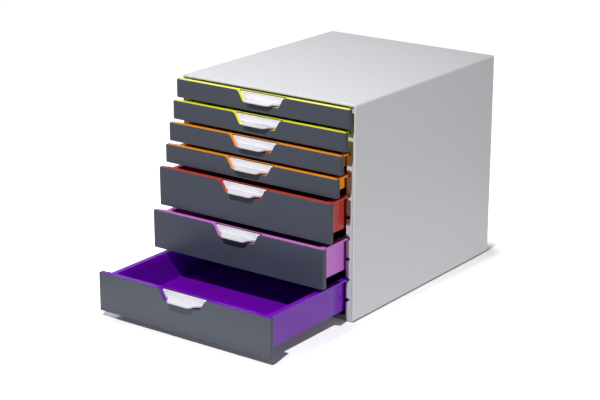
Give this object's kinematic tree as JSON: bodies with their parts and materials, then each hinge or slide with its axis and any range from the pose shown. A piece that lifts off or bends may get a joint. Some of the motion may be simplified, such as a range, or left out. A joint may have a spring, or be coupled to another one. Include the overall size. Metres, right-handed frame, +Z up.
{
  "type": "desktop drawer unit",
  "caption": "Desktop drawer unit: grey box housing with coloured slide-out trays, dark fronts and white label holders with pull tongues, for sorting paper.",
  "frame": {"origin": "on the desk plane under the middle of the housing", "axes": "+Z up, the drawer fronts face -Y and the drawers pull out along -Y, +X to the right seen from the front"},
  "size_m": [0.28, 0.5309, 0.292],
  "materials": {
    "housing_grey": "fine satin",
    "foot_rubber": "matt",
    "front_charcoal": "satin",
    "tray_yellow": "gloss",
    "tray_orange": "gloss",
    "tray_red": "gloss",
    "tray_pink": "gloss",
    "tray_violet": "gloss",
    "handle_white": "satin",
    "card_paper": "matt",
    "window_clear": "clear gloss"
  },
  "bodies": {
    "housing": {"housing_sleeve": "housing_grey", "rear_panel": "housing_grey", "left_runner_panel": "housing_grey", "right_runner_panel": "housing_grey", "front_left_foot": "foot_rubber", "front_right_foot": "foot_rubber", "rear_left_foot": "foot_rubber", "rear_right_foot": "foot_rubber"},
    "drawer_1": {"drawer_1_tray": "tray_yellow", "drawer_1_front": "front_charcoal", "drawer_1_label_holder": "handle_white", "drawer_1_label_window": "window_clear", "drawer_1_label_card": "card_paper"},
    "drawer_2": {"drawer_2_tray": "tray_yellow", "drawer_2_front": "front_charcoal", "drawer_2_label_holder": "handle_white", "drawer_2_label_window": "window_clear", "drawer_2_label_card": "card_paper"},
    "drawer_3": {"drawer_3_tray": "tray_orange", "drawer_3_front": "front_charcoal", "drawer_3_label_holder": "handle_white", "drawer_3_label_window": "window_clear", "drawer_3_label_card": "card_paper"},
    "drawer_4": {"drawer_4_tray": "tray_orange", "drawer_4_front": "front_charcoal", "drawer_4_label_holder": "handle_white", "drawer_4_label_window": "window_clear", "drawer_4_label_card": "card_paper"},
    "drawer_5": {"drawer_5_tray": "tray_red", "drawer_5_front": "front_charcoal", "drawer_5_label_holder": "handle_white", "drawer_5_label_window": "window_clear", "drawer_5_label_card": "card_paper"},
    "drawer_6": {"drawer_6_tray": "tray_pink", "drawer_6_front": "front_charcoal", "drawer_6_label_holder": "handle_white", "drawer_6_label_window": "window_clear", "drawer_6_label_card": "card_paper"},
    "drawer_7": {"drawer_7_tray": "tray_violet", "drawer_7_front": "front_charcoal", "drawer_7_label_holder": "handle_white", "drawer_7_label_window": "window_clear", "drawer_7_label_card": "card_paper"}
  },
  "joints": [
    {"name": "drawer_1_slide", "type": "slide", "parent": "housing", "child": "drawer_1", "axis": [0, -1, 0], "range_m": [-0.0025, 0.2475]},
    {"name": "drawer_2_slide", "type": "slide", "parent": "housing", "child": "drawer_2", "axis": [0, -1, 0], "range_m": [-0.0105, 0.2395]},
    {"name": "drawer_3_slide", "type": "slide", "parent": "housing", "child": "drawer_3", "axis": [0, -1, 0], "range_m": [-0.0195, 0.2305]},
    {"name": "drawer_4_slide", "type": "slide", "parent": "housing", "child": "drawer_4", "axis": [0, -1, 0], "range_m": [-0.028, 0.222]},
    {"name": "drawer_5_slide", "type": "slide", "parent": "housing", "child": "drawer_5", "axis": [0, -1, 0], "range_m": [-0.042, 0.208]},
    {"name": "drawer_6_slide", "type": "slide", "parent": "housing", "child": "drawer_6", "axis": [0, -1, 0], "range_m": [-0.0565, 0.1935]},
    {"name": "drawer_7_slide", "type": "slide", "parent": "housing", "child": "drawer_7", "axis": [0, -1, 0], "range_m": [-0.1665, 0.0835]}
  ]
}
